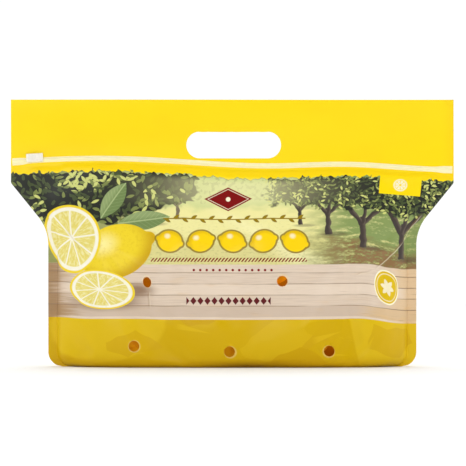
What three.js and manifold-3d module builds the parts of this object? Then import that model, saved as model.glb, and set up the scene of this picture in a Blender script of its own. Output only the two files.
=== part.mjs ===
// A stand-up pouch of lemons: one printed film pouch, shut by a zip that runs under a wide carrying header.
// Millimetres, +Z up. The front faces -Y, and the origin is on the ground under the middle of the base.
import * as THREE from "three";
import { mergeVertices } from "three/addons/utils/BufferGeometryUtils.js";
import Module from "manifold-3d";

const wasm = await Module();
wasm.setup();

// ---- Driving dimensions: the cut outline of the film --------------------------------------------
const HEIGHT = 200;
const HEADER_WIDTH = 332;
const BODY_WIDTH = 276;
const SHOULDER_TOP = 137.5; // where the header's straight sides end
const SHOULDER_SLANT = THREE.MathUtils.degToRad(39); // of the cut under the header, from the vertical
const SHOULDER_RADIUS = 34; // of the curve from that cut into the upright side
const CORNER_RADIUS = 11;
const SIDE_SEAL = 7; // width of the flat heat seal down each side
const SKIN = 1; // both films together, where nothing lies between them

// ---- Driving dimensions: the filled body --------------------------------------------------------
const BASE_DEPTH = 26; // half thickness on the ground, before the edge rolls under
const BELLY_DEPTH = 30; // half thickness of the fullest part
const BELLY_HEIGHT = 40;
const ROLL = 5; // how far the bottom edge turns in
const ROLL_HEIGHT = 8;
const ACROSS = { power: 4.2, fall: 0.66 }; // plan shape of the full body
const ACROSS_TOP = { power: 2, fall: 1.7 }; // plan shape just under the zip, flat towards the wings
const SLACK = [94, 138]; // heights between which the first plan shape becomes the second
const TAPER = 2.5; // how the body thins towards the zip
const GUSSET = { rise: 9, at: 100, reach: 24 }; // the bottom fold lifts off the ground towards each side
const SWAY = { depth: 3, wave: 62, start: 163 }; // the header bends a little to and fro above this

// Each lemon pushes the film out over itself: where it lies, and how far its bump reaches along and across.
const LEMONS = [
  { x: -85, z: 30, along: 32.5, across: 25, turn: 6 },
  { x: -17, z: 29.5, along: 28.5, across: 26, turn: -9 },
  { x: 46.5, z: 30.5, along: 28.5, across: 26, turn: 8 },
  { x: 102, z: 31, along: 26, across: 20, turn: 80 },
  { x: -91, z: 84.5, along: 25, across: 22, turn: -14 },
  { x: -35, z: 86, along: 26, across: 24.5, turn: 10 },
  { x: 22.5, z: 86.5, along: 26.5, across: 24, turn: -10 },
  { x: 81, z: 85.5, along: 26, across: 23, turn: 12 },
];
const LEMON_BUMP = 3.4;

// ---- Driving dimensions: hand slot, zip and vents -----------------------------------------------
const SLOT = { x: 1, z: 166, width: 71, height: 20 };
const ZIP = { height: 145.8, slope: 0.007 }; // the zip sits on this line, lifted by the two waves
const ZIP_WAVES = [
  { x: -106, reach: 121, lift: 10.9 },
  { x: 86, reach: 51, lift: 4.25 },
];
const TRACK = { width: 3.8, rib: 1.8, thickness: 1.2, edge: 0.4, inset: 1, steps: 56 };
const SLIDER = { x: -148, above: 5.2, below: 1.2, length: 12.5, thickness: 3.6, edge: 1.1 };
const GAP = 0.3; // left between pieces that touch
const VENT = { diameter: 8, depth: 1.4, sides: 20 };
const FRONT_VENTS = [
  { x: -73, z: 17 },
  { x: -2, z: 13.5 },
  { x: 72, z: 13.5 },
  { x: -63, z: 64.5 },
  { x: 37, z: 65.5 },
];
const BACK_VENTS = [
  { x: -96, z: 26 },
  { x: -34, z: 22 },
  { x: 29, z: 24 },
  { x: 94, z: 22 },
  { x: -23, z: 78 },
  { x: 45, z: 76 },
];

// ---- Mesh steps ---------------------------------------------------------------------------------
const COLUMNS = 48;
const CROWD = 0.6; // how strongly the columns crowd towards the side seals
const BASE_STRIPS = 4;
const ROLL_ROWS = [0, 0.6, 2, 4.4, 8]; // heights of the rows that round the bottom edge
const BODY_ROWS = 21; // from there to the header's corner
const RISE_ROWS = 2; // from the corner to the zip
const HEADER_ROWS = 5; // from the zip to the top

const { clamp, lerp, smoothstep } = THREE.MathUtils;

function zipHeight(x) {
  const waves = ZIP_WAVES.map(
    (w) => w.lift * Math.exp(-(((x - w.x) / w.reach) ** 2)),
  );
  return ZIP.height + ZIP.slope * x + waves.reduce((a, b) => a + b);
}

// Half the width of the cut film at a height: rounded corner, upright side, shoulder curve, slant, header.
function halfWidth(z) {
  const body = BODY_WIDTH / 2;
  const header = HEADER_WIDTH / 2;
  if (z < CORNER_RADIUS)
    return (
      body - CORNER_RADIUS + Math.sqrt(CORNER_RADIUS ** 2 - (CORNER_RADIUS - z) ** 2)
    );
  if (z >= SHOULDER_TOP) return header;
  const curveOut = SHOULDER_RADIUS * (1 - Math.cos(SHOULDER_SLANT));
  const curveUp = SHOULDER_RADIUS * Math.sin(SHOULDER_SLANT);
  const slantUp = (header - body - curveOut) / Math.tan(SHOULDER_SLANT);
  const slantStart = SHOULDER_TOP - slantUp;
  if (z >= slantStart)
    return header - (SHOULDER_TOP - z) * Math.tan(SHOULDER_SLANT);
  const up = z - (slantStart - curveUp);
  if (up <= 0) return body;
  return body + SHOULDER_RADIUS - Math.sqrt(SHOULDER_RADIUS ** 2 - up ** 2);
}

// 1 in the middle of the pouch and 0 at its side seals.
function acrossShare(x, z) {
  const inner = halfWidth(z) - SIDE_SEAL;
  const a = Math.min(Math.abs(x) / inner, 1);
  const full = (1 - a ** ACROSS.power) ** ACROSS.fall;
  const slack = (1 - a ** ACROSS_TOP.power) ** ACROSS_TOP.fall;
  return lerp(full, slack, smoothstep(z, ...SLACK));
}

// Half thickness that the fill gives the pouch up the middle line.
function upShare(x, z) {
  if (z < BELLY_HEIGHT)
    return lerp(BASE_DEPTH, BELLY_DEPTH, Math.sin((Math.PI / 2) * (z / BELLY_HEIGHT)));
  const top = zipHeight(x) - TRACK.width;
  const t = clamp((z - BELLY_HEIGHT) / (top - BELLY_HEIGHT), 0, 1);
  return BELLY_DEPTH * (1 - t ** TAPER);
}

function lemonBump(lemon, x, z) {
  const turn = THREE.MathUtils.degToRad(lemon.turn);
  const dx = x - lemon.x;
  const dz = z - lemon.z;
  const u = (dx * Math.cos(turn) + dz * Math.sin(turn)) / lemon.along;
  const v = (dz * Math.cos(turn) - dx * Math.sin(turn)) / lemon.across;
  return Math.exp(-((u ** 2 + v ** 2) ** 1.3));
}

// Half the thickness of the filled pouch at a point of its front view.
function halfDepth(x, z) {
  const fill = upShare(x, z) * acrossShare(x, z);
  const bumps = LEMONS.reduce((sum, lemon) => sum + lemonBump(lemon, x, z), 0);
  const t = clamp(z / ROLL_HEIGHT, 0, 1);
  const roll = ROLL * (1 - Math.sqrt(1 - (1 - t) ** 2)) * smoothstep(fill, 0, 2 * ROLL);
  return SKIN / 2 + fill + LEMON_BUMP * bumps * smoothstep(fill, 0, 14) - roll;
}

// How far the bottom fold stands off the ground at a point of the base.
function gussetRise(x, across) {
  const end = Math.exp(-(((Math.abs(x) - GUSSET.at) / GUSSET.reach) ** 4));
  return GUSSET.rise * end * smoothstep(Math.abs(x), 60, 90) * (1 - across ** 2);
}

// How far back both films of the header stand at a point of the front view.
function sway(x, z) {
  return SWAY.depth * Math.sin(x / SWAY.wave) * smoothstep(z, SWAY.start, HEIGHT);
}

function steps(from, to, count) {
  return Array.from({ length: count }, (_, i) => lerp(from, to, (i + 1) / count));
}

// Heights of the level rows: close together at the rounded bottom edge, then even to the header's corner.
const LEVELS = [...ROLL_ROWS, ...steps(ROLL_ROWS.at(-1), SHOULDER_TOP, BODY_ROWS)];
const ROWS = LEVELS.length - 1 + RISE_ROWS + HEADER_ROWS;

// A mesh point in the front view, by its column, from -1 to 1, and its row. Higher rows follow the zip.
function meshPoint(column, row) {
  const share = lerp(column, Math.sin((Math.PI / 2) * column), CROWD);
  if (row < LEVELS.length) return { x: share * halfWidth(LEVELS[row]), z: LEVELS[row] };
  const x = (share * HEADER_WIDTH) / 2;
  const fillTop = zipHeight(x) - TRACK.width;
  const up = row - (LEVELS.length - 1);
  if (up <= RISE_ROWS) return { x, z: lerp(SHOULDER_TOP, fillTop, up / RISE_ROWS) };
  return { x, z: lerp(fillTop, HEIGHT, (up - RISE_ROWS) / HEADER_ROWS) };
}

// The pouch as a box whose faces are bent to the outline, the filled front and back, and the lifted base.
function pouchGeometry() {
  const box = new THREE.BoxGeometry(2, 2, ROWS, COLUMNS, BASE_STRIPS, ROWS);
  box.deleteAttribute("normal");
  box.deleteAttribute("uv");
  const geometry = mergeVertices(box);
  const position = geometry.getAttribute("position");
  for (let i = 0; i < position.count; i++) {
    const across = position.getY(i);
    const row = Math.round(position.getZ(i) + ROWS / 2);
    const { x, z } = meshPoint(position.getX(i), row);
    const lift = row === 0 ? gussetRise(x, across) : 0;
    position.setXYZ(i, x, across * halfDepth(x, z) + sway(x, z), z + lift);
  }
  return geometry;
}

function toManifold(geometry) {
  const bare = geometry.clone();
  bare.deleteAttribute("normal");
  bare.deleteAttribute("uv");
  const merged = mergeVertices(bare, 1e-4);
  return new wasm.Manifold(
    new wasm.Mesh({
      numProp: 3,
      vertProperties: merged.getAttribute("position").array,
      triVerts: new Uint32Array(merged.index.array),
    }),
  );
}

function toGeometry(solid) {
  const mesh = solid.getMesh();
  const geometry = new THREE.BufferGeometry();
  geometry.setAttribute(
    "position",
    new THREE.BufferAttribute(new Float32Array(mesh.vertProperties), 3),
  );
  geometry.setIndex(new THREE.BufferAttribute(mesh.triVerts, 1));
  geometry.computeVertexNormals();
  return geometry;
}

// A bar with round ends, standing across the header, that cuts the hand slot.
function slotCutter() {
  const radius = SLOT.height / 2;
  const straight = SLOT.width / 2 - radius;
  const outline = new THREE.Shape();
  outline.moveTo(-straight, -radius);
  outline.lineTo(straight, -radius);
  outline.absarc(straight, 0, radius, -Math.PI / 2, Math.PI / 2);
  outline.lineTo(-straight, radius);
  outline.absarc(-straight, 0, radius, Math.PI / 2, (3 * Math.PI) / 2);
  const depth = 4 * SWAY.depth;
  const cutter = new THREE.ExtrudeGeometry(outline, { depth, curveSegments: 10, bevelEnabled: false });
  cutter.translate(0, 0, -depth / 2);
  cutter.rotateX(Math.PI / 2);
  cutter.translate(SLOT.x, 0, SLOT.z);
  return toManifold(cutter);
}

// A short round punch whose flat end stops a little under the film, on the front (-1) or the back (+1).
function ventCutter(vent, side) {
  const length = 20;
  const punch = new THREE.CylinderGeometry(
    VENT.diameter / 2,
    VENT.diameter / 2,
    length,
    VENT.sides,
  );
  const floor = halfDepth(vent.x, vent.z) - VENT.depth;
  punch.translate(vent.x, side * (floor + length / 2), vent.z);
  return toManifold(punch);
}

function makePouch() {
  let solid = toManifold(pouchGeometry()).subtract(slotCutter());
  for (const vent of FRONT_VENTS) solid = solid.subtract(ventCutter(vent, -1));
  for (const vent of BACK_VENTS) solid = solid.subtract(ventCutter(vent, 1));
  const film = new THREE.MeshStandardMaterial({ color: 0xf6d81f, roughness: 0.35, metalness: 0 });
  const pouch = new THREE.Mesh(toGeometry(solid), film);
  pouch.name = "pouch";
  return pouch;
}

// The line that the zip follows across the front of the header, at a distance in front of the film.
function zipCurve(ahead) {
  const reach = HEADER_WIDTH / 2 - TRACK.inset;
  const points = Array.from({ length: TRACK.steps + 1 }, (_, i) => {
    const x = lerp(-reach, reach, i / TRACK.steps);
    return new THREE.Vector3(x, -(SKIN / 2 + ahead), zipHeight(x));
  });
  return new THREE.CatmullRomCurve3(points);
}

// The zip's strip: thin edges and a thicker rib along the middle. Its section's x points out of the front.
function makeTrack() {
  const half = TRACK.width / 2;
  const section = new THREE.Shape();
  section.moveTo(0, -half);
  section.lineTo(TRACK.edge, -half);
  section.lineTo(TRACK.thickness, -TRACK.rib / 2);
  section.lineTo(TRACK.thickness, TRACK.rib / 2);
  section.lineTo(TRACK.edge, half);
  section.lineTo(0, half);
  section.closePath();
  const strip = new THREE.ExtrudeGeometry(section, {
    steps: TRACK.steps,
    extrudePath: zipCurve(GAP),
    bevelEnabled: false,
  });
  const cream = new THREE.MeshStandardMaterial({ color: 0xf7ecc4, roughness: 0.5, metalness: 0 });
  const track = new THREE.Mesh(strip, cream);
  track.name = "zip_track";
  return track;
}

// The slider that hooks over the strip: a thick top and a front wall, with rounded outer edges.
function makeSlider() {
  const { above, below, thickness, edge } = SLIDER;
  const insideTop = TRACK.width / 2 + GAP;
  const insideFront = TRACK.thickness + GAP;
  const section = new THREE.Shape();
  section.moveTo(insideFront, -below);
  section.lineTo(thickness - edge, -below);
  section.absarc(thickness - edge, -below + edge, edge, -Math.PI / 2, 0);
  section.absarc(thickness - edge, above - edge, edge, 0, Math.PI / 2);
  section.lineTo(0, above);
  section.lineTo(0, insideTop);
  section.lineTo(insideFront, insideTop);
  section.closePath();
  const block = new THREE.ExtrudeGeometry(section, {
    depth: SLIDER.length,
    curveSegments: 5,
    bevelEnabled: false,
  });
  block.translate(0, 0, -SLIDER.length / 2);
  const outOfFront = new THREE.Vector3(0, -1, 0);
  const up = new THREE.Vector3(0, 0, 1);
  const along = new THREE.Vector3(-1, 0, 0);
  block.applyMatrix4(new THREE.Matrix4().makeBasis(outOfFront, up, along));
  const white = new THREE.MeshStandardMaterial({ color: 0xf4f4f2, roughness: 0.35, metalness: 0 });
  const slider = new THREE.Mesh(block, white);
  slider.name = "zip_slider";
  const slope = (zipHeight(SLIDER.x + 1) - zipHeight(SLIDER.x - 1)) / 2;
  slider.position.set(SLIDER.x, -(SKIN / 2 + GAP), zipHeight(SLIDER.x));
  slider.rotation.y = -Math.atan(slope);
  return slider;
}

const pack = new THREE.Group();
pack.name = "lemon_pouch";
pack.add(makePouch(), makeTrack(), makeSlider());

export default pack;
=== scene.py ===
"""A stand-up pouch of lemons: printed film round the fruit, a zip with a slider, and a carrying header."""

import math
from contextlib import contextmanager

import bmesh
import bpy
import numpy as np
from mathutils import Matrix, Vector


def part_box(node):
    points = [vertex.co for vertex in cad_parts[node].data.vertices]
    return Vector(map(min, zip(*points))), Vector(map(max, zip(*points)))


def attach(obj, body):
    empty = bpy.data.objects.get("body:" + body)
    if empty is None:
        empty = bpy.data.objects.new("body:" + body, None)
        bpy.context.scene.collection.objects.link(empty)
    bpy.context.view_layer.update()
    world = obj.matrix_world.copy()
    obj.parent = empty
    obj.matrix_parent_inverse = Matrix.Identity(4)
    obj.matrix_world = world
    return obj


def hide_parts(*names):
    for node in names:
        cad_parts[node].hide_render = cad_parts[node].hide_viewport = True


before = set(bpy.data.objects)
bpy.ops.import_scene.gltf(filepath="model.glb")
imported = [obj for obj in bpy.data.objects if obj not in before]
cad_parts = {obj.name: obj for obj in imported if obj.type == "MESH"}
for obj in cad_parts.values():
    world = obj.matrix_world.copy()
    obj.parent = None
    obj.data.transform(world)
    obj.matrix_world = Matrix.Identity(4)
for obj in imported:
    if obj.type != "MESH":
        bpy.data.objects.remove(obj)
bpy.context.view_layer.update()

# ---- Dimensions of the pouch, in millimetres as in the CAD model --------------------------------
MM = 0.001
POUCH_LOW, POUCH_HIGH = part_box("pouch")
HEIGHT = POUCH_HIGH.z / MM
HEADER_WIDTH = (POUCH_HIGH.x - POUCH_LOW.x) / MM
BODY_WIDTH = 276
SHOULDER_TOP = 137.5
SHOULDER_SLANT = math.radians(39)
SHOULDER_RADIUS = 34
CORNER_RADIUS = 11
SIDE_SEAL = 7
FILM = 0.32  # thickness of one film, drawn a little thicker than life

BASE_DEPTH = 26
BELLY_DEPTH = 30
BELLY_HEIGHT = 40
ROLL = 5
ROLL_HEIGHT = 8
ACROSS_POWER, ACROSS_FALL = 4.2, 0.66
SHOULDER_FALL = 1.7
SLACK = (94, 138)
TAPER = 2.5
GUSSET_RISE, GUSSET_AT, GUSSET_REACH = 9, 100, 24
SWAY_DEPTH, SWAY_WAVE, SWAY_START = 3, 62, 163

# Where each lemon lies, how far its bump in the film reaches along and across, and its turn in degrees.
LEMONS = [
    (-85, 30, 32.5, 25, 6),
    (-17, 29.5, 28.5, 26, -9),
    (46.5, 30.5, 28.5, 26, 8),
    (102, 31, 26, 20, 80),
    (-91, 84.5, 25, 22, -14),
    (-35, 86, 26, 24.5, 10),
    (22.5, 86.5, 26.5, 24, -10),
    (81, 85.5, 26, 23, 12),
]
LEMON_BUMP, BUMP_POWER = 3.4, 1.3
FRUIT_LONGER, FRUIT_WIDER = 1.5, 2.5  # the lemon itself, over the reach of its bump

SLOT_X, SLOT_Z, SLOT_WIDTH, SLOT_HEIGHT = 1, 166, 71, 20
ZIP_HEIGHT, ZIP_SLOPE = 145.8, 0.007
ZIP_WAVES = [(-106, 121, 10.9), (86, 51, 4.25)]  # middle, reach and lift of each wave
ZIP_WIDTH = 3.8
ZIP_RIDGE = 0.35  # how far it stands out through the back film
ZIP_CRUSHED = 15  # the sealing jaws press its ends flat and wide over this length
CRUSHED_WIDER, CRUSHED_FLATTER = 0.4, 0.5
SLIDER_X, SLIDER_LENGTH, SLIDER_THICKNESS, SLIDER_ABOVE, SLIDER_BELOW = -148, 12.5, 3.6, 5.2, 1.2
SLIDER_EDGE = 1.1  # radius of its outer edges
SLIDER_HOLLOW, SLIDER_HOLLOW_TOP = 1.5, 2.2  # the depth and the top of its hollow, which holds the strip
SLIDER_SOFT = 0.45  # its ends round off over this length
SLIDER_RIB, SLIDER_RIB_PITCH, SLIDER_RIBBED = 0.3, 1.2, 4.2  # its ribs: depth, spacing and half their run
ZIP_OUT = 0.8  # the slider's back lies this far before the middle plane
VENT_RADIUS = 4
# Each vent's place, its width over its height, and its lean in degrees. Creased film pinches one of them.
FRONT_VENTS = [
    (-73, 17, 1, 0), (-2, 13.5, 1, 0), (72, 13.5, 1, 0),
    (-63, 64.5, 0.76, 14), (37, 65.5, 1, 0),
]
BACK_VENTS = [(x, z, 1, 0) for x, z in ((-96, 26), (-34, 22), (29, 24), (94, 22), (-23, 78), (45, 76))]


# ---- Shape of the filled pouch ------------------------------------------------------------------
def smoothstep(value, low, high):
    t = np.clip((value - low) / (high - low), 0, 1)
    return t * t * (3 - 2 * t)


def lerp(a, b, t):
    return a + (b - a) * t


def zip_height(x):
    waves = sum(lift * np.exp(-(((x - middle) / reach) ** 2)) for middle, reach, lift in ZIP_WAVES)
    return ZIP_HEIGHT + ZIP_SLOPE * x + waves


def half_width(z):
    """Half the width of the cut film: rounded corner, upright side, shoulder curve, slant, header."""
    body, header = BODY_WIDTH / 2, HEADER_WIDTH / 2
    curve_out = SHOULDER_RADIUS * (1 - math.cos(SHOULDER_SLANT))
    curve_up = SHOULDER_RADIUS * math.sin(SHOULDER_SLANT)
    slant_start = SHOULDER_TOP - (header - body - curve_out) / math.tan(SHOULDER_SLANT)
    corner_drop = np.clip(CORNER_RADIUS - z, 0, CORNER_RADIUS)
    corner = body - CORNER_RADIUS + np.sqrt(CORNER_RADIUS**2 - corner_drop**2)
    up = np.clip(z - (slant_start - curve_up), 0, curve_up)
    curve = body + SHOULDER_RADIUS - np.sqrt(SHOULDER_RADIUS**2 - up**2)
    slant = header - (SHOULDER_TOP - z) * math.tan(SHOULDER_SLANT)
    side = np.where(z < CORNER_RADIUS, corner, np.where(z < slant_start, curve, slant))
    return np.where(z < SHOULDER_TOP, side, header)


def across_share(x, z):
    """1 in the middle of the pouch and 0 at its side seals."""
    a = np.minimum(np.abs(x) / (half_width(z) - SIDE_SEAL), 1)
    return lerp((1 - a**ACROSS_POWER) ** ACROSS_FALL, (1 - a**2) ** SHOULDER_FALL, smoothstep(z, *SLACK))


def up_share(x, z):
    """Half thickness that the fill gives the pouch up its middle line."""
    low = lerp(BASE_DEPTH, BELLY_DEPTH, np.sin(np.pi / 2 * np.minimum(z / BELLY_HEIGHT, 1)))
    t = np.clip((z - BELLY_HEIGHT) / (zip_height(x) - ZIP_WIDTH - BELLY_HEIGHT), 0, 1)
    return np.where(z < BELLY_HEIGHT, low, BELLY_DEPTH * (1 - t**TAPER))


def turned(x, z, degrees):
    """A place seen along axes turned by that angle."""
    cos, sin = math.cos(math.radians(degrees)), math.sin(math.radians(degrees))
    return x * cos + z * sin, z * cos - x * sin


def lemon_bumps(x, z):
    total = 0
    for middle_x, middle_z, along, across, degrees in LEMONS:
        u, v = turned(x - middle_x, z - middle_z, degrees)
        total = total + np.exp(-(((u / along) ** 2 + (v / across) ** 2) ** BUMP_POWER))
    return total


def fill_depth(x, z):
    """How far the film stands off the pouch's middle plane at a point of the front view."""
    fill = up_share(x, z) * across_share(x, z)
    t = np.clip(z / ROLL_HEIGHT, 0, 1)
    roll = ROLL * (1 - np.sqrt(1 - (1 - t) ** 2)) * smoothstep(fill, 0, 2 * ROLL)
    return fill + LEMON_BUMP * lemon_bumps(x, z) * smoothstep(fill, 0, 14) - roll


def sway(x, z):
    return SWAY_DEPTH * np.sin(x / SWAY_WAVE) * smoothstep(z, SWAY_START, HEIGHT)


# ---- Meshes -------------------------------------------------------------------------------------
def new_object(name, data):
    obj = bpy.data.objects.new(name, data)
    bpy.context.scene.collection.objects.link(obj)
    return obj


def mesh_object(name, points_mm, faces, unit=MM):
    mesh = bpy.data.meshes.new(name)
    mesh.from_pydata((np.reshape(points_mm, (-1, 3)) * unit).tolist(), [], faces)
    mesh.validate()
    return new_object(name, mesh)


def apply_modifiers(obj):
    bpy.context.view_layer.update()
    done = bpy.data.meshes.new_from_object(obj.evaluated_get(bpy.context.evaluated_depsgraph_get()))
    old = obj.data
    obj.modifiers.clear()
    obj.data = done
    done.name = obj.name
    bpy.data.meshes.remove(old)


@contextmanager
def edited(obj):
    """The object's mesh, opened for editing and then written back."""
    work = bmesh.new()
    work.from_mesh(obj.data)
    yield work
    work.to_mesh(obj.data)
    work.free()


def soften(obj, sharp_degrees=45):
    """Smooth shading, with the edges sharper than that angle kept crisp."""
    sharp = math.radians(sharp_degrees)
    with edited(obj) as work:
        for face in work.faces:
            face.smooth = True
        for edge in work.edges:
            edge.smooth = len(edge.link_faces) == 2 and edge.calc_face_angle() < sharp


def outward_normals(obj):
    with edited(obj) as work:
        bmesh.ops.recalc_face_normals(work, faces=work.faces)


def tube_faces(rings, sides, start=0):
    """The quads of a tube of that many rings after the first one."""
    faces = []
    for ring in range(rings):
        first = start + ring * sides
        for side in range(sides):
            a, b = first + side, first + (side + 1) % sides
            faces.append([a, b, b + sides, a + sides])
    return faces


def tube_object(name, points, rings, sides, sharp_degrees):
    """A tube with flat ends."""
    ends = [list(range(sides)), list(range(rings * sides, (rings + 1) * sides))]
    tube = mesh_object(name, points, tube_faces(rings, sides) + ends)
    outward_normals(tube)
    soften(tube, sharp_degrees)
    return tube


# ---- Film panels --------------------------------------------------------------------------------
COLUMNS = 240
CROWD = 0.3  # how strongly the columns crowd towards the side seals
CREASES = [  # sharp creases of the front film: two ends, depth and reach
    (144, 116, 127, 93, 0.9, 2),
    (129, 95, 106, 73, 1.1, 2),
    (106, 73, 92, 69, 0.5, 1.8),
    (-62, 58, -60, 45, 0.7, 1.8),
    (-125, 104, -112, 86, 0.5, 2),
]
PRINT_SAG = 5  # the print hangs this much lower at the right of the body
ROW_HEIGHTS = np.concatenate([np.arange(0, ROLL_HEIGHT, 1.0), np.linspace(ROLL_HEIGHT, HEIGHT, 153)])


def hole_distance(x, z, vents):
    """Distance outside the nearest hole of a film: the hand slot or one of its vents."""
    radius = SLOT_HEIGHT / 2
    beyond = np.maximum(np.abs(x - SLOT_X) - (SLOT_WIDTH / 2 - radius), 0)
    distance = np.hypot(beyond, z - SLOT_Z) - radius
    for vent_x, vent_z, pinch, degrees in vents:
        across, along = turned(x - vent_x, z - vent_z, degrees)
        distance = np.minimum(distance, np.hypot(across / pinch, along) - VENT_RADIUS)
    return distance


def all_faces(rows, columns, flip):
    """The quads of a whole grid."""
    index = np.arange(rows * columns).reshape(rows, columns)
    corners = [index[:-1, :-1], index[:-1, 1:], index[1:, 1:], index[1:, :-1]]
    quads = np.stack([c.ravel() for c in corners], 1)
    return quads[:, ::-1] if flip else quads


def cut_faces(quads, distance):
    """The faces outside the holes, and the new points where edges are cut, as (from, to, share)."""
    far = distance.ravel()
    out = far[quads] >= 0
    faces = quads[out.all(1)].tolist()
    cuts, number_of = [], {}
    for quad in quads[out.any(1) & ~out.all(1)].tolist():
        face = []
        for a, b in zip(quad, quad[1:] + quad[:1]):
            if far[a] >= 0:
                face.append(a)
            if (far[a] >= 0) != (far[b] >= 0):
                key = (min(a, b), max(a, b))
                if key not in number_of:
                    number_of[key] = far.size + len(cuts)
                    cuts.append((*key, far[key[0]] / (far[key[0]] - far[key[1]])))
                face.append(number_of[key])
        faces.append(face)
    return faces, cuts


def with_cuts(grid, cuts):
    """The grid's values, one row for each point, followed by those at the cuts."""
    values = grid.reshape(GRID_X.size, -1)
    if not cuts:
        return values
    start, end, share = (np.array(part) for part in zip(*cuts))
    return np.concatenate([values, lerp(values[start], values[end], share[:, None])])


def crease_depth(x, z):
    """How far the sharp creases press into the front film."""
    total = 0
    for start_x, start_z, end_x, end_z, deep, reach in CREASES:
        t, away = beside_line(x, z, start_x, start_z, end_x, end_z)
        total = total + deep * np.exp(-away / reach) * np.sqrt(np.clip(4 * t * (1 - t), 0, 1))
    return total


def beside_line(x, z, start_x, start_z, end_x, end_z):
    """The nearest place on a line, as a share of its length, and the distance to it."""
    run_x, run_z = end_x - start_x, end_z - start_z
    t = np.clip(((x - start_x) * run_x + (z - start_z) * run_z) / (run_x**2 + run_z**2), 0, 1)
    return t, np.hypot(x - lerp(start_x, end_x, t), z - lerp(start_z, end_z, t))


def film_layout(x, z):
    """Each point's place on the flat film: across from its middle, and up as along the middle line."""
    y = fill_depth(x, z)
    middle = x.shape[1] // 2
    along = np.hypot(np.diff(x, axis=1), np.diff(y, axis=1))
    flat_x = np.concatenate([np.zeros((len(x), 1)), np.cumsum(along, 1)], 1)
    flat_x -= flat_x[:, middle : middle + 1]
    down = np.hypot(np.diff(z[:, middle]), np.diff(y[:, middle]))
    below = np.append(np.cumsum(down[::-1])[::-1], 0)
    sag = PRINT_SAG * smoothstep(x, 95, 132) * (1 - smoothstep(z, 90, 135))
    return flat_x, HEIGHT - below[:, None] + sag


def panel_grid():
    column = np.linspace(-1, 1, COLUMNS + 1)[None, :]
    share = lerp(column, np.sin(np.pi / 2 * column), CROWD)
    z = np.repeat(ROW_HEIGHTS[:, None], COLUMNS + 1, 1)
    return half_width(z) * share, z


GRID_X, GRID_Z = panel_grid()
FLAT_X, FLAT_Z = film_layout(GRID_X, GRID_Z)


def film_panel(name, side, vents, moved):
    """One film of the pouch, front (-1) or back (+1), with its flat coordinates for the print."""
    faces, cuts = cut_faces(all_faces(*GRID_X.shape, side > 0), hole_distance(GRID_X, GRID_Z, vents))
    depth = fill_depth(GRID_X, GRID_Z) + FILM
    if side < 0:
        depth -= crease_depth(GRID_X, GRID_Z)
    else:
        depth += ZIP_RIDGE * np.exp(-(((GRID_Z - zip_height(GRID_X)) / (ZIP_WIDTH / 2)) ** 2))
    points = np.stack([GRID_X, side * depth, GRID_Z], -1) + moved
    depth = np.maximum(side * points[:, :, 1], FILM)  # on its own side of the middle plane
    points[:, :, 1] = side * depth + sway(GRID_X, GRID_Z)
    panel = mesh_object(name, with_cuts(points, cuts), faces)
    layout = np.stack([-side * FLAT_X, FLAT_Z], -1)
    add_layout(panel, with_cuts(layout, cuts))
    drop_loose(panel)
    thicken(panel, -1)
    return panel


def add_layout(panel, layout):
    """Stores each point's place on the flat film, for the print."""
    stored = np.pad(layout, ((0, 0), (0, 1)))
    layer = panel.data.attributes.new("flat", "FLOAT_VECTOR", "POINT")
    layer.data.foreach_set("vector", stored.reshape(-1).astype(np.float32))


def thicken(panel, offset):
    thick = panel.modifiers.new("film", "SOLIDIFY")
    thick.thickness = FILM * MM
    thick.offset = offset
    apply_modifiers(panel)
    soften(panel)


def drop_loose(obj):
    with edited(obj) as work:
        loose = [v for v in work.verts if not v.link_faces]
        bmesh.ops.delete(work, geom=loose, context="VERTS")


def base_panel():
    """The film of the bottom fold, from the front panel's lower edge to the back panel's."""
    strips = 40
    x = GRID_X[0]
    depth = fill_depth(x, np.zeros_like(x)) + FILM
    share = np.linspace(-1, 1, strips + 1)[:, None]
    end = np.exp(-(((np.abs(x) - GUSSET_AT) / GUSSET_REACH) ** 4)) * smoothstep(np.abs(x), 60, 90)
    z = GUSSET_RISE * end * (1 - share**2)
    x, y, z = np.broadcast_arrays(x, share * depth, z)
    points = np.stack([x, y, z + FILM], -1)
    panel = mesh_object("base_film", points, all_faces(*x.shape, True))
    add_layout(panel, np.stack([x, -np.abs(y)], -1).reshape(-1, 2))
    thicken(panel, 1)
    return panel


# ---- Draping ------------------------------------------------------------------------------------
# Each film settles over the fruit as cloth. The solver works at ten times life size, where it is steady.
DRAPE_UNIT = 10 * MM
DRAPE_STEP = 2  # it moves every second row and column of the panel's grid
DRAPE_FRAMES = 24
DRAPE_MOST = 5.5  # no point moves farther than this
DRAPE_SLACK = 1.0  # how far the film starts off its even shape
DRAPE_FADE = 16  # beside a side seal the film keeps its even shape, over this width
FOLDS = [  # listed creases begun in the front film: two ends, depth and reach
    (142, 115, 128, 92, 3.5, 4.5),
    (128, 92, 108, 75, 3.5, 4.5),
    (-96, 48, -126, 36, 2.5, 4),
    (87, 42, 92, 20, 2, 4),
    (-62, 59, -61, 47, 1.6, 2.5),
]


def fold_depth(x, z):
    total = 0
    for start_x, start_z, end_x, end_z, deep, reach in FOLDS:
        _, away = beside_line(x, z, start_x, start_z, end_x, end_z)
        total = total + deep * np.exp(-((away / reach) ** 2))
    return total


def collider(obj, gap):
    obj.modifiers.new("collision", "COLLISION")
    obj.collision.thickness_outer = gap
    obj.collision.cloth_friction = 5
    return obj


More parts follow.
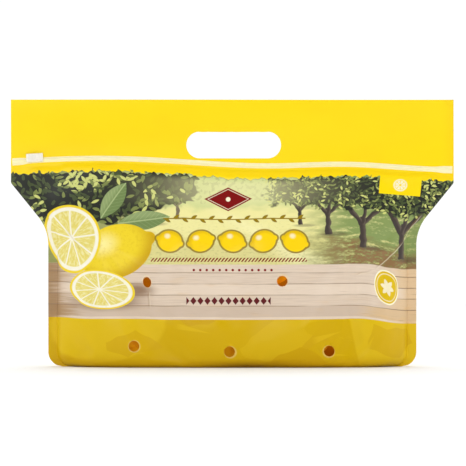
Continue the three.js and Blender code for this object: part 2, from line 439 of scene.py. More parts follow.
def drape_colliders(fruit):
    """The fruit and the pouch's middle plane, which stop the film."""
    shape = fruit.data.copy()
    shape.transform(Matrix.Scale(DRAPE_UNIT / MM, 4))
    large = new_object("drape_fruit", shape)
    x, z = np.meshgrid(np.linspace(-170, 170, 21), np.linspace(-5, 205, 21))
    points = np.stack([x, 0 * x, z], -1)
    middle = mesh_object("drape_middle", points, all_faces(*x.shape, False), DRAPE_UNIT)
    return collider(large, 0.01), collider(middle, 0.005)


def cloth(obj, pinned):
    group = obj.vertex_groups.new(name="pinned")
    group.add(np.flatnonzero(pinned).tolist(), 1, "REPLACE")
    modifier = obj.modifiers.new("cloth", "CLOTH")
    settings = modifier.settings
    settings.quality = 8
    settings.mass = 0.15
    settings.tension_stiffness = settings.compression_stiffness = 60
    settings.shear_stiffness = 30
    settings.bending_stiffness = 0.45
    settings.air_damping = 2
    settings.vertex_group_mass = group.name
    settings.shrink_min = settings.shrink_max = -0.004
    settings.use_pressure = True
    settings.uniform_pressure_force = 0.08
    modifier.collision_settings.distance_min = 0.012
    modifier.collision_settings.collision_quality = 3
    modifier.point_cache.frame_end = DRAPE_FRAMES


def drape(side, folds):
    """How far the points of the panel's grid move, as (rows, columns, 3), when the film settles."""
    x, z = GRID_X[::DRAPE_STEP, ::DRAPE_STEP], GRID_Z[::DRAPE_STEP, ::DRAPE_STEP]
    depth = fill_depth(x, z)
    slack = DRAPE_SLACK * np.clip(depth / 10, 0, 1) - folds(x, z) * np.clip(depth / 8, 0, 1)
    rest = np.stack([x, side * (depth + slack), z], -1)
    film = mesh_object("drape_film", rest, all_faces(*x.shape, side > 0), DRAPE_UNIT)
    pinned = (np.abs(x) > half_width(z) - SIDE_SEAL + 1) | (z > zip_height(x) - 6) | (z < 1)
    cloth(film, pinned)
    scene = bpy.context.scene
    for number in range(1, DRAPE_FRAMES + 1):
        scene.frame_set(number)
    settled = film.evaluated_get(bpy.context.evaluated_depsgraph_get()).data
    place = np.empty(3 * len(settled.vertices))
    settled.vertices.foreach_get("co", place)
    bpy.data.objects.remove(film)
    scene.frame_set(1)
    moved = place.reshape(rest.shape) / DRAPE_UNIT - np.stack([x, side * depth, z], -1)
    far = np.linalg.norm(moved, axis=2)
    inward = smoothstep(half_width(z) - np.abs(x), SIDE_SEAL, SIDE_SEAL + DRAPE_FADE)
    moved *= (inward * np.tanh(far / DRAPE_MOST) * DRAPE_MOST / np.maximum(far, 1e-6))[:, :, None]
    return smooth_between(moved)


def smooth_between(coarse):
    """Values at the grid's every point from those at every DRAPE_STEP points, rounded between them."""
    fine = coarse
    for axis, count in ((0, GRID_X.shape[0]), (1, GRID_X.shape[1])):
        at = np.arange(count) / DRAPE_STEP
        low = np.minimum(at.astype(int), fine.shape[axis] - 2)
        t = (at - low).reshape((-1, 1, 1) if axis == 0 else (1, -1, 1))
        fine = lerp(fine.take(low, axis), fine.take(low + 1, axis), t)
    for axis in (0, 1) * 2:
        pad = [(1, 1) if number == axis else (0, 0) for number in range(3)]
        wide = np.pad(fine, pad, "edge")
        count = fine.shape[axis]
        before, after = wide.take(range(count), axis), wide.take(range(2, count + 2), axis)
        fine = before / 4 + fine / 2 + after / 4
    return fine


# ---- Zip ----------------------------------------------------------------------------------------
def zip_strip():
    """The zip seen in its clear strip of film: flat edges and a rounded rib along the middle."""
    steps = 240
    reach = HEADER_WIDTH / 2 - 1
    x = np.linspace(-reach, reach, steps + 1)
    half = ZIP_WIDTH / 2
    rib = [0, 0.35, 0.5, 0.62, 1.15, 1.35, 1.35, 1.15, 0.62, 0.5, 0.35, 0]
    up = np.array([-1, -1, -0.72, -0.5, -0.36, -0.16, 0.16, 0.36, 0.5, 0.72, 1, 1]) * half
    slope = np.gradient(zip_height(x), x)
    lean = 1 / np.hypot(1, slope)
    crushed = smoothstep(np.abs(x), reach - ZIP_CRUSHED, reach - ZIP_CRUSHED / 3)
    points = []
    for ahead, rise in zip(rib, up):
        rise = rise * (1 + CRUSHED_WIDER * crushed)
        y = -FILM - ahead * (1 - CRUSHED_FLATTER * crushed)
        points.append(np.stack([x - rise * slope * lean, y, zip_height(x) + rise * lean], -1))
    return tube_object("zip_strip", np.stack(points, 1), steps, len(rib), 50)


def zip_slider():
    """The slider that hooks over the strip, with soft edges and finger ribs down its front."""
    steps, turns = 60, 6
    edge, wall, top = SLIDER_EDGE, SLIDER_HOLLOW, SLIDER_HOLLOW_TOP
    arc = np.linspace(0, np.pi / 2, turns + 1)
    front = SLIDER_THICKNESS - edge
    lower = [(front + edge * math.sin(t), edge - SLIDER_BELOW - edge * math.cos(t)) for t in arc]
    upper = [(front + edge * math.cos(t), SLIDER_ABOVE - edge + edge * math.sin(t)) for t in arc]
    outline = np.array([(wall, -SLIDER_BELOW), *lower, *upper, (0, SLIDER_ABOVE), (0, top), (wall, top)])
    along = np.linspace(-1, 1, steps + 1)[:, None] * SLIDER_LENGTH / 2
    from_end = np.clip(1 - (SLIDER_LENGTH / 2 - np.abs(along)) / SLIDER_SOFT, 0, 1)
    pulled_in = SLIDER_SOFT * (1 - np.sqrt(1 - from_end**2))
    out, up = outline[:, 0] + 0 * along, outline[:, 1] + 0 * along
    ribbed = smoothstep(out, front, SLIDER_THICKNESS) * (np.abs(along) < SLIDER_RIBBED)
    ribs = ribbed * SLIDER_RIB * (1 - np.cos(2 * np.pi * along / SLIDER_RIB_PITCH)) / 2
    out = out - ribs - pulled_in * (out > wall)
    up = up - pulled_in * np.sign(up - top) * (out > 0)
    slope = float(np.gradient(zip_height(np.array([SLIDER_X - 1, SLIDER_X + 1])), 2)[0])
    x = SLIDER_X + along - up * slope
    z = float(zip_height(np.float64(SLIDER_X))) + up + along * slope
    points = np.stack(np.broadcast_arrays(x, -(ZIP_OUT + out), z), -1)
    return tube_object("zip_slider_detail", points, steps, len(outline), 40)


# ---- Lemons -------------------------------------------------------------------------------------
def lemon_points(rings, sides):
    """A lemon on the x axis with a tip at each end, of unit length and width, as a grid of rings."""
    angle = np.linspace(0, np.pi, rings + 1)[:, None]
    round_ = np.linspace(0, 2 * np.pi, sides, endpoint=False)[None, :]
    along = -np.cos(angle)
    tip = np.exp(-(((1 - np.abs(along)) / 0.07) ** 1.2))
    x = along * (1 + 0.13 * tip)
    radius = np.sin(angle) ** 0.92
    return np.broadcast_to(x, (rings + 1, sides)), radius * np.cos(round_), radius * np.sin(round_)


def lemons():
    """All the fruit, as one piece."""
    rings, sides = 40, 48
    unit_x, unit_y, unit_z = lemon_points(rings, sides)
    points, faces = [], []
    for number, (middle_x, middle_z, along, across, degrees) in enumerate(LEMONS):
        length, width = along + FRUIT_LONGER, across + FRUIT_WIDER
        x, z = turned(unit_x * length, unit_z * width, -degrees)
        points.append(np.stack([middle_x + x, unit_y * width, middle_z + z], -1))
        faces += tube_faces(rings, sides, number * unit_x.size)
    fruit = mesh_object("lemons", points, faces)
    with edited(fruit) as work:
        bmesh.ops.remove_doubles(work, verts=work.verts, dist=0.05 * MM)
    outward_normals(fruit)
    soften(fruit, 80)
    return fruit


# ---- Node graphs written as arithmetic ----------------------------------------------------------
def srgb(red, green, blue):
    def linear(value):
        value /= 255
        return value / 12.92 if value <= 0.04045 else ((value + 0.055) / 1.055) ** 2.4
    return linear(red), linear(green), linear(blue), 1


def math_method(name):
    """A method of Field that adds a Math node of that name."""
    def method(field, *others):
        return field.math(name, *others)
    return method


class Field:
    """A number or vector that varies over a surface. Arithmetic on it adds nodes to its tree.

    Vectors are taken apart and turned by dot products, which keep a large shader within its memory."""

    def __init__(self, tree, socket):
        self.tree = tree
        self.socket = socket

    def node(self, kind, values, output=0, **settings):
        made = self.tree.nodes.new(kind)
        for name, setting in settings.items():
            setattr(made, name, setting)
        for key, value in values.items():
            if isinstance(value, Field):
                self.tree.links.new(value.socket, made.inputs[key])
            else:
                made.inputs[key].default_value = value
        return Field(self.tree, made.outputs[output])

    def math(self, operation, *others):
        values = dict(enumerate((self, *others)))
        return self.node("ShaderNodeMath", values, operation=operation)

    __add__ = __radd__ = math_method("ADD")
    __sub__ = math_method("SUBTRACT")
    __mul__ = __rmul__ = math_method("MULTIPLY")
    __abs__ = math_method("ABSOLUTE")
    least = math_method("MINIMUM")
    most = math_method("MAXIMUM")

    def __rsub__(self, other):
        return (self * -1) + other

    def bell(self, middle, reach):
        away = (self - middle) * (1 / reach)
        return (away * away * -1).math("EXPONENT")

    def rise(self, low, high):
        """0 below low, 1 above high, and smooth between."""
        return self.between(low, high, 0, 1)

    def fall(self, low, high):
        """1 below low and 0 above high."""
        return self.between(low, high, 1, 0)

    def between(self, low, high, start, end):
        """A smooth step. It needs no clamp, and the node's own would hold every mask in memory."""
        values = {"Value": self, "From Min": low, "From Max": high, "To Min": start, "To Max": end}
        return self.node("ShaderNodeMapRange", values, interpolation_type="SMOOTHSTEP", clamp=False)

    def vector(self, operation, other=(0, 0, 0), output=0):
        return self.node("ShaderNodeVectorMath", {0: self, 1: other}, output, operation=operation)

    def dot(self, x, y, z=0):
        return self.vector("DOT_PRODUCT", (x, y, z), output=1)

    def part(self, axis):
        return self.dot(*(float(number == axis) for number in range(3)))

    def scaled(self, x, y, z=1):
        return self.vector("MULTIPLY", (x, y, z))

    def moved(self, other):
        return self.vector("ADD", other)

    def apart(self, other):
        return self.vector("SUBTRACT", other)

    def length(self):
        return self.vector("LENGTH", output=1)

    def turn(self):
        """The angle of this vector, in radians."""
        return self.part(1).math("ARCTAN2", self.part(0))

    def repeat(self, pitch):
        """Place within its repeat of that pitch, from -0.5 to 0.5."""
        return (self * (1 / pitch)).math("FRACT") - 0.5

    def local(self, x, y, degrees=0, width=1, height=1):
        """This place seen from a motif: its middle at 0, its half width and half height 1."""
        seen = self.moved((-x, -y, 0))
        cos, sin = math.cos(math.radians(degrees)), math.sin(math.radians(degrees))
        return xy(seen.dot(cos / width, sin / width), seen.dot(-sin / height, cos / height))

    def moved_by_noise(self, size, reach):
        """This place pushed about by a slow noise, for lines that aren't ruler straight."""
        values = {"Vector": self, "Scale": 1 / size, "Detail": 1}
        wobble = self.node("ShaderNodeTexNoise", values, output=1)
        centred = wobble.moved((-0.5, -0.5, -0.5)).scaled(2 * reach, 2 * reach, 0)
        return self.moved(centred)

    def noise(self, size, detail=2):
        return self.node("ShaderNodeTexNoise", {"Vector": self, "Scale": 1 / size, "Detail": detail})

    def cells(self, size):
        """Distance from the nearest of a scatter of points, as a share of their spacing."""
        return self.node("ShaderNodeTexVoronoi", {"Vector": self, "Scale": 1 / size})

    def nearest(self, size):
        """The nearest of a scatter of points: this place as seen from it, and its three random numbers."""
        values = {"Vector": self, "Scale": 1 / size}
        spot = self.node("ShaderNodeTexVoronoi", values, output=2, voronoi_dimensions="2D")
        chance = Field(self.tree, spot.socket.node.outputs["Color"])
        return spot, self.apart(spot), chance


def xy(x, y):
    """A vector from two fields."""
    return x.node("ShaderNodeCombineXYZ", {0: x, 1: y})


class Coat:
    """A colour laid down in layers, each with its own mask."""

    def __init__(self, place, colour):
        self.place = place
        self.colour = colour

    def sight(self):
        """The place, and its two parts: across the film and up it."""
        return self.place, self.place.part(0), self.place.part(1)

    def seen(self, x, z, degrees=0, half_width=1, half_height=1):
        """The place as seen from a motif whose middle shows at (x, z) of the front."""
        return self.place.local(*on_film(x, z), degrees, half_width, half_height)

    def row(self, x, z, length):
        """Place along and over a row that starts at (x, z) of the front, and the mask of its length."""
        start = self.seen(x, z)
        along = start.part(0)
        return along, start.part(1), along.rise(0, 0.2) * along.fall(length, length + 0.2)

    def lay(self, colour, mask):
        values = {0: mask, 6: self.colour, 7: colour}
        self.colour = self.place.node("ShaderNodeMix", values, output=2, data_type="RGBA")
        return self


def new_material(name, roughness):
    """A material, its node tree and its shader."""
    material = bpy.data.materials.new(name)
    material.use_nodes = True
    shader = material.node_tree.nodes["Principled BSDF"]
    shader.inputs["Roughness"].default_value = roughness
    return material, material.node_tree, shader


def object_place(tree):
    """Place on the object, in millimetres."""
    node = tree.nodes.new("ShaderNodeTexCoord")
    return Field(tree, node.outputs["Object"]).scaled(1 / MM, 1 / MM, 1 / MM)


# ---- The print, with its painted light and shade ------------------------------------------------
# Bands and ornaments are placed where they are seen from the front. on_film finds them on the flat film.
YELLOW = srgb(253, 221, 14)
YELLOW_DEEP = srgb(251, 212, 18)
CREAM = srgb(255, 246, 192)
PALE = srgb(250, 243, 212)
OLIVE = srgb(146, 120, 22)
RED = srgb(128, 18, 18)
RED_DARK = srgb(98, 26, 30)
LEAF_DARK = srgb(46, 48, 42)
LEAF_MID = srgb(74, 84, 54)
LEAF_OLIVE = srgb(128, 138, 78)
LEAF_LIGHT = srgb(206, 210, 124)
HAZE = srgb(244, 240, 184)
HILL = srgb(190, 204, 132)
MEADOW = srgb(238, 231, 160)
MEADOW_LOW = srgb(220, 212, 142)
SUNLIT = srgb(250, 244, 190)
GRASS = srgb(118, 142, 80)
EARTH_AND_CREASE_SHADE = srgb(146, 108, 74)
BARK = srgb(70, 62, 58)
BARK_LIT = srgb(128, 114, 98)
BARK_FAR = srgb(124, 112, 92)
WOOD = srgb(208, 188, 168)
WOOD_PALE = srgb(230, 212, 192)
WOOD_GOLD = srgb(224, 188, 132)
WOOD_LINE = srgb(146, 118, 92)
WOOD_BROWN = srgb(168, 134, 94)
SHADOW = srgb(122, 86, 54)
AMBER = srgb(211, 173, 4)
AMBER_LIGHT = srgb(222, 187, 24)
AMBER_DEEP = srgb(196, 148, 2)
AMBER_BROWN = srgb(150, 102, 4)
RIM = srgb(240, 214, 150)
RIND = srgb(240, 212, 48)
RIND_SHADE = srgb(206, 164, 22)
RIND_LIGHT = srgb(252, 240, 160)
PITH = srgb(248, 244, 224)
FLESH = srgb(230, 214, 112)
FLESH_LIGHT = srgb(240, 231, 164)
LEAF_PRINT = srgb(116, 138, 84)
LEAF_PRINT_LIGHT = srgb(170, 186, 130)


def on_film(x, z):
    """Where on the flat film lies the point of the front that is seen at (x, z)."""
    row = int(np.abs(ROW_HEIGHTS - z).argmin())
    column = int(np.abs(GRID_X[row] - x).argmin())
    return float(FLAT_X[row, column]), float(FLAT_Z[row, column])


CANOPY_BELOW_ZIP = 10
WOOD_TOP = on_film(0, 78)[1]
WOOD_FOOT = on_film(0, 37.2)[1]
BOARD = 8.2  # width of one board


def zip_line(across):
    line = across * ZIP_SLOPE + ZIP_HEIGHT
    for middle, reach, lift in ZIP_WAVES:
        line = line + across.bell(middle, reach) * lift
    return line


def lay_meadow(coat):
    """Sunlit grass with a pale track, greener and then browner towards the right foreground."""
    place, across, up = coat.sight()
    streaks = place.scaled(0.22, 1).noise(3.5, 4)
    blades = place.scaled(0.5, 1).noise(1.3, 3)
    coat.lay(HILL, (up + place.scaled(0.6, 1).noise(11, 3) * 16).rise(120, 127) * 0.75)
    coat.lay(MEADOW_LOW, (up + streaks * 18).fall(92, 108))
    track = abs(across + (up - 96) * 1.7 - 26 + streaks * 14) - (130 - up) * 0.32
    coat.lay(SUNLIT, track.fall(-16, 10) * up.fall(104, 124) * 0.6)
    coat.lay(LEAF_OLIVE, blades.rise(0.5, 0.72) * up.fall(84, 112) * 0.3)
    right = (across + streaks * 40).rise(62, 112)
    coat.lay(GRASS, right * (streaks * 0.7 + blades * 0.3).rise(0.28, 0.5) * 0.9)
    soil = (up + across * 0.16 - streaks * 16).fall(91, 101) * (across + streaks * 30).rise(66, 108)
    coat.lay(EARTH_AND_CREASE_SHADE, soil * (streaks * 0.5 + blades * 0.5).rise(0.36, 0.56) * 0.9)
    left = (across * -1 + streaks * 30).rise(76, 112)
    coat.lay(LEAF_OLIVE, left * 0.8)


def lay_tree(coat, x, foot, top, girth, bark):
    """A trunk, broad at its foot, that forks into boughs, between the heights where they are seen."""
    bent = coat.place.moved_by_noise(6, 1.5)
    foot_x, foot_z = on_film(x, foot)
    top_x, top_z = on_film(x, top)
    fork_x, fork_z = lerp(foot_x, top_x, 0.4), lerp(foot_z, top_z, 0.4)
    reach = top_z - fork_z
    for lean, start, length, width in (
        (1, foot_z, fork_z - foot_z + girth, 1),
        (-47, fork_z, reach * 1.25, 0.66),
        (38, fork_z - girth / 4, reach * 1.35, 0.74),
        (-8, fork_z, reach * 1.1, 0.5),
    ):
        turn = math.radians(-lean)
        half = length / 2
        middle = (fork_x + math.sin(turn) * half * (start != foot_z), start + math.cos(turn) * half)
        bough = bent.local(*middle, lean, girth / 2 * width, half * 1.05)
        side, up_bough = bough.part(0), bough.part(1)
        mask = (abs(side) + up_bough * 0.22).fall(0.7, 1.0) * abs(up_bough).fall(0.92, 1.0)
        coat.lay(bark, mask)
        coat.lay(BARK_LIT, mask * side.rise(-0.1, 0.9) * 0.45)
    ground = coat.place.local(foot_x + girth, foot_z, 0, girth * 3.2, girth * 0.5).length()
    coat.lay(bark, ground.fall(0.3, 1.0) * 0.45)


def left_canopy(across, up, below, ragged):
    foot = up + ragged * 26 - across.rise(-100, -20) * 20
    return (across + ragged * 24).fall(-16, -14) * foot.rise(115, 117) * below.rise(0, 0.5)


def right_canopy(across, up, below, ragged):
    foot = up + ragged * 20 + across.rise(30, 150) * 9
    return (across + ragged * 24).rise(38, 40) * foot.rise(128, 130) * below.rise(0, 0.5)


def lay_leaves(coat, size, layers, canopy, lit):
    """Layers of leaves over dark gaps, in lit and shaded sprays that each point one way.

    The leaves whose middles lie in the canopy are drawn whole."""
    place, across, up = coat.sight()
    below = zip_line(across) - CANOPY_BELOW_ZIP - up + 2 - place.scaled(1, 0.4).cells(4.6) * 5
    coat.lay(LEAF_DARK, canopy(across, up, below, place.noise(size * 2.6, 2)))
    for number in range(layers):
        shift = (37.3 * number, 11.9 * number, 0)
        middle, seen, chance = place.moved(shift).nearest(size * (1.15 - 0.1 * number))
        spray = middle.noise(size * 3.2, 2)
        beside, above = seen.part(0), seen.part(1)
        inside = canopy(across - beside, up - above, below + above, spray)
        turn = chance.part(0) * 1.5 + spray * (6 * math.pi)
        cos, sin = turn.math("COSINE"), turn.math("SINE")
        along = (beside * cos + above * sin) * (1.5 / size)
        side = (above * cos - beside * sin) * (4 / size)
        blade = (along * along + abs(side)).fall(0.8, 1.0) * inside
        light = chance.part(1) * 0.8 + (spray - 0.5) * 4 + lit + number * 0.05
        coat.lay(LEAF_MID, blade * light.rise(0.25, 0.3))
        coat.lay(LEAF_OLIVE, blade * light.rise(0.62, 0.72))
        coat.lay(LEAF_LIGHT, blade * light.rise(0.95, 1.1))


def lay_far_leaves(coat):
    """The pale far trees in the middle."""
    place, across, up = coat.sight()
    far = place.noise(3.2, 4)
    coat.lay(LEAF_OLIVE, across.bell(-8, 44) * (up + far * 14).rise(127, 131) * far.rise(0.5, 0.62) * 0.5)


def lay_right_leaves(coat):
    lay_leaves(coat, 3.4, 3, right_canopy, 0.06)


def lay_left_leaves(coat):
    """Deep shade at the far left, with its brightest sprays at the top."""
    place, across, _ = coat.sight()
    sprays = place.local(-112, 138, 0, 34, 12).length().fall(0.3, 1.1) * 1.25
    lay_leaves(coat, 5.4, 3, left_canopy, sprays + across.rise(-92, -64) * 0.26 - 0.24)


def lay_haze(coat):
    _, across, up = coat.sight()
    coat.lay(HAZE, across.bell(4, 50) * up.rise(112, 124) * (zip_line(across) - up).rise(9, 16) * 0.55)


def lay_planks(coat):
    """Pale boards that run across, with broken dark joints, streaked grain and browner ends."""
    place, across, up = coat.sight()
    waved = up + place.scaled(0.1, 0.3).noise(6, 2) * 1.5
    grain = place.scaled(0.035, 1).noise(0.8, 4)
    number = (waved * (1 / BOARD)).math("FLOOR")
    tone = number.node("ShaderNodeTexWhiteNoise", {"W": number}, noise_dimensions="1D")
    mask = (up + place.noise(14, 2) * 1.2).fall(WOOD_TOP + 0.4, WOOD_TOP + 1.2)
    brown = (across + grain * 34 + tone * 16).fall(-122, -88)
    gold = (across + grain * 30 - tone * 34).rise(104, 128)
    coat.lay(WOOD, mask)
    coat.lay(WOOD_PALE, mask * (tone * 0.7 + grain * 0.9).rise(0.5, 1.15))
    coat.lay(WOOD_GOLD, mask * (gold * 0.6 + place.scaled(0.12, 0.5).noise(3, 2).rise(0.55, 0.8) * 0.3))
    coat.lay(WOOD_BROWN, mask * brown * 0.95)
    joint = abs(waved.repeat(BOARD))
    faint = place.scaled(0.025, 0.2).noise(1, 2).rise(0.34, 0.56)
    ends = (brown + gold).least(1)
    lines = joint.rise(0.44, 0.49) * up.rise(WOOD_FOOT + 2, WOOD_FOOT + 5)
    coat.lay(WOOD_LINE, mask * lines * (faint * 0.65 + 0.15 + ends * 0.35).least(0.95))
    coat.lay(WOOD_LINE, mask * grain.rise(0.58, 0.78) * (0.3 + 0.3 * ends))


FOOT_FOLD_HIGHLIGHTS = [  # painted highlights of folds in the foot: middle seen from the front, turn, half length and half width
    (70, 25, 17, 13, 3),
    (80, 11, -3, 9, 1.4),
    (101, 15, 62, 12, 3),
    (-106, 22, 28, 13, 2.4),
    (-28, 30, -12, 16, 2.6),
]


def lay_foot(coat):
    """The amber foot of the print, in random lighter and deeper patches, with painted sheen over the end
    lemons, painted highlights on folds, a painted glint, and painted shade along the bottom.
    """
    place, across, up = coat.sight()
    mask = up.fall(WOOD_FOOT - 0.25, WOOD_FOOT + 0.25)
    coat.lay(AMBER, mask)
    # Painted sheen: lighter amber over the end lemons at the left and the right.
    left = place.moved_by_noise(14, 3).local(*on_film(-98, 32), 5, 50, 29).length()
    edge_x, edge_z = on_film(90, 22)
    right = (across - edge_x + (up - edge_z) * 0.19).rise(-0.6, 1.2)
    coat.lay(AMBER_LIGHT, mask * (left.fall(0.92, 1.02) + right))
    patch = place.moved_by_noise(20, 5).scaled(1, 1.6).nearest(34)[2]
    coat.lay(AMBER_LIGHT, mask * patch.part(0).rise(0.6, 0.62) * 0.5)
    coat.lay(AMBER_DEEP, mask * patch.part(1).rise(0.66, 0.68) * 0.35)
    # A painted glint: a streak of light across the film at the lower right.
    streak = coat.seen(86, 25, -24, 24, 7)
    glint, lit = streak.scaled(2, 14).noise(1, 2), streak.length().fall(0.4, 1.0)
    coat.lay(AMBER_LIGHT, mask * glint.rise(0.56, 0.62) * lit * 0.7)
    rich = place.moved_by_noise(10, 2).local(*on_film(72, 29), -6, 19, 7).length()
    coat.lay(AMBER, mask * rich.fall(0.9, 1.0) * 0.8)
    # Painted highlights on folds of the film.
    for x, z, degrees, long, wide in FOOT_FOLD_HIGHLIGHTS:
        fold = coat.seen(x, z, degrees, long, wide)
        along = fold.part(0)
        wedge = (abs(fold.part(1)) * 2 + along).fall(0.7, 1.0) * along.rise(-1, -0.5)
        coat.lay(AMBER_LIGHT, mask * wedge * 0.75)
    # Painted shade: deeper amber along the bottom, where the film rolls under.
    coat.lay(AMBER_DEEP, mask * (up + place.noise(30, 2) * 6).fall(-2, 8) * 0.35)
    # Painted shade: brown, low in the middle of the bottom.
    coat.lay(AMBER_BROWN, mask * across.bell(12, 36) * up.fall(-6, 2) * 0.7)


def lay_header(coat):
    """The yellow header, down to a ragged edge under the zip."""
    place, across, up = coat.sight()
    notches = place.scaled(1, 0.3).noise(4.5, 3) * 5 + place.scaled(1, 0.2).cells(4) * 3
    below = zip_line(across) - CANOPY_BELOW_ZIP - up - notches + 4
    coat.lay(LEAF_OLIVE, below.fall(0.4, 0.8) * 0.6)
    mask = below.fall(-0.1, 0.3)
    coat.lay(YELLOW, mask)
    coat.lay(YELLOW_DEEP, mask * place.scaled(0.6, 1).noise(45, 2).rise(0.45, 0.75) * 0.5)
    # Painted shade: a band of deeper yellow just under the zip.
    coat.lay(YELLOW_DEEP, mask * (zip_line(across) - up).bell(6, 4) * 0.6)
    # Painted shade: deeper yellow along the header's right end.
    coat.lay(YELLOW_DEEP, mask * across.rise(156, 166) * 0.7)


def lay_leaf(coat, x, z, degrees, half_length, half_width):
    """A pointed leaf with a pale midrib and side veins."""
    leaf = coat.seen(x, z, degrees, half_length, half_width)
    along, side = leaf.part(0), abs(leaf.part(1))
    inside = side + along * along
    mask = inside.fall(0.94, 1.0)
    coat.lay(LEAF_PRINT, mask)
    veins = (along * 5 - side * 2.2).math("FRACT").rise(0.8, 0.95) * 0.35
    coat.lay(LEAF_PRINT_LIGHT, mask * (veins + leaf.part(1).rise(-0.2, 0.5) * 0.5))
    coat.lay(LEAF_PRINT_LIGHT, mask * side.fall(0.03, 0.09))


def lay_whole_lemon(coat, x, z, degrees, half_length, half_width):
    """A lemon with a tip at each end, lit from the upper left."""
    fruit = coat.seen(x, z, degrees, half_length, half_width)
    along, side = fruit.part(0), fruit.part(1)
    edge = lemon_edge(along, side)
    mask = edge.fall(-0.02, 0.01)
    coat.lay(RIND, mask)
    coat.lay(RIND_SHADE, mask * (fruit.length() - side * 0.35 + along * 0.15).rise(0.62, 1.35))
    coat.lay(RIND_LIGHT, mask * fruit.moved((0.28, -0.42, 0)).length().fall(0.0, 0.62) * 0.9)
    coat.lay(RIND_SHADE, mask * coat.place.cells(1.6).rise(0.62, 0.8) * 0.16)


def lemon_edge(along, side):
    """Distance outside a lemon's outline of half length and half width 1, tips included."""
    body = xy(along, side).length() - 1
    tips = (xy((abs(along) - 0.93) * 4.5, side * 3.8).length() - 1) * 0.24
    return body.node("ShaderNodeMath", {0: body, 1: tips, 2: 0.12}, operation="SMOOTH_MIN")


def lay_slice(coat, x, z, degrees, half_width, half_height, segments=9):
    """A round slice: rind, white pith and pale segments parted by thin walls."""
    cut = coat.seen(x, z, degrees, half_width, half_height)
    edge = cut.length()
    coat.lay(RIND, edge.fall(0.98, 1.0))
    coat.lay(PITH, edge.fall(0.9, 0.94))
    angle = cut.turn() * (segments / math.tau)
    beside_wall = edge * (0.5 - abs(angle.repeat(1)))
    flesh = edge.fall(0.79, 0.83) * beside_wall.rise(0.02, 0.05)
    coat.lay(FLESH, flesh)
    rays = xy(angle * 2.6, edge * 2.2).noise(0.35, 3)
    coat.lay(FLESH_LIGHT, flesh * rays.rise(0.42, 0.66))
    coat.lay(PITH, edge.fall(0.05, 0.1))


def lay_fruit_group(coat):
    """Two slices and a whole lemon with its leaves, and their shadow on the boards."""
    for x, z, wide, high in ((-94, 50, 40, 9), (-72, 58, 20, 8)):
        shade = coat.seen(x, z, 0, wide, high).length()
        coat.lay(SHADOW, shade.fall(0.2, 1.0) * 0.8)
    lay_leaf(coat, -88, 124, 58, 18, 7.5)
    lay_leaf(coat, -66, 110, 8, 20, 7.5)
    lay_whole_lemon(coat, -86, 88, 24, 27, 20)
    lay_slice(coat, -120, 97, 8, 25, 27)
    lay_slice(coat, -98, 59, -6, 27, 14.5, 11)


def lay_title_row(coat):
    """A garland of small leaves over a row of lemons tilted to and fro."""
    pitch, count = 23.3, 5
    place_x, place_z, inside = coat.row(-58.2, 95, pitch * count)
    x, flip = in_row(place_x, pitch)
    along = (x + place_z * flip * 0.3) * (1 / 9.7)
    side = (place_z - x * flip * 0.3) * (1 / 8.6)
    edge = lemon_edge(along, side)
    coat.lay(OLIVE, inside * edge.fall(0.1, 0.15) * 0.9)
    coat.lay(YELLOW_DEEP, inside * edge.fall(-0.05, -0.01))
    shade = (edge + side * 0.3 - along * 0.15).rise(-0.35, 0.25) * 0.6
    coat.lay(RIND_SHADE, inside * shade * edge.fall(-0.06, -0.02))
    coat.lay(PALE, inside * xy(along + 0.3, side - 0.4).length().fall(0.1, 0.34) * 0.7)
    lay_garland(coat, -52, 111.5, 106)


def in_row(along, pitch):
    """Place along the nearest motif of a row, and -1 or 1 by turns."""
    number = (along * (1 / pitch)).math("FLOOR")
    return along - (number + 0.5) * pitch, (number.math("FLOORED_MODULO", 2) - 0.5) * 2


def lay_garland(coat, x, z, length):
    """A thin stem with a leaf to each side in turn."""
    along, over, inside = coat.row(x, z, length)
    leaf_x, flip = in_row(along, 6.6)
    leaf = xy(leaf_x, over * flip - 1.3).local(0, 0, 35, 3.1, 1.25)
    coat.lay(OLIVE, inside * (abs(leaf.part(1)) + leaf.part(0) * leaf.part(0)).fall(0.85, 1.0))
    coat.lay(OLIVE, inside * abs(over).fall(0.3, 0.55))


def lay_red_trim(coat):
    """Dark red ornaments: a lozenge over the row, a hatched rule, a row of dots and a band of diamonds."""
    lozenge = coat.seen(-3, 127, 0, 18, 10)
    far = abs(lozenge.part(0)) + abs(lozenge.part(1))
    coat.lay(RED, far.fall(0.97, 1.01))
    coat.lay(PALE, far.bell(0.84, 0.028))
    coat.lay(PALE, lozenge.scaled(2, 1).length().fall(0.16, 0.22))
    along, over, inside = coat.row(-60, 81, 116)
    hatch = abs((along - over * 0.8).repeat(2.5)).fall(0.2, 0.28)
    coat.lay(RED, inside * abs(over).fall(1.35, 1.6) * hatch)
    along, over, inside = coat.row(-31, 74, 62.4)
    coat.lay(RED, inside * xy(along.repeat(4.8), over * (1 / 4.8)).length().fall(0.17, 0.22))
    band = coat.seen(-3, 51.5)
    along, over = band.part(0), abs(band.part(1))
    diamonds = over * (1 / 3.2) + 1 - abs(along.repeat(5.2)) * 2
    coat.lay(RED_DARK, abs(along).fall(31.1, 31.3) * diamonds.fall(0.84, 0.96))


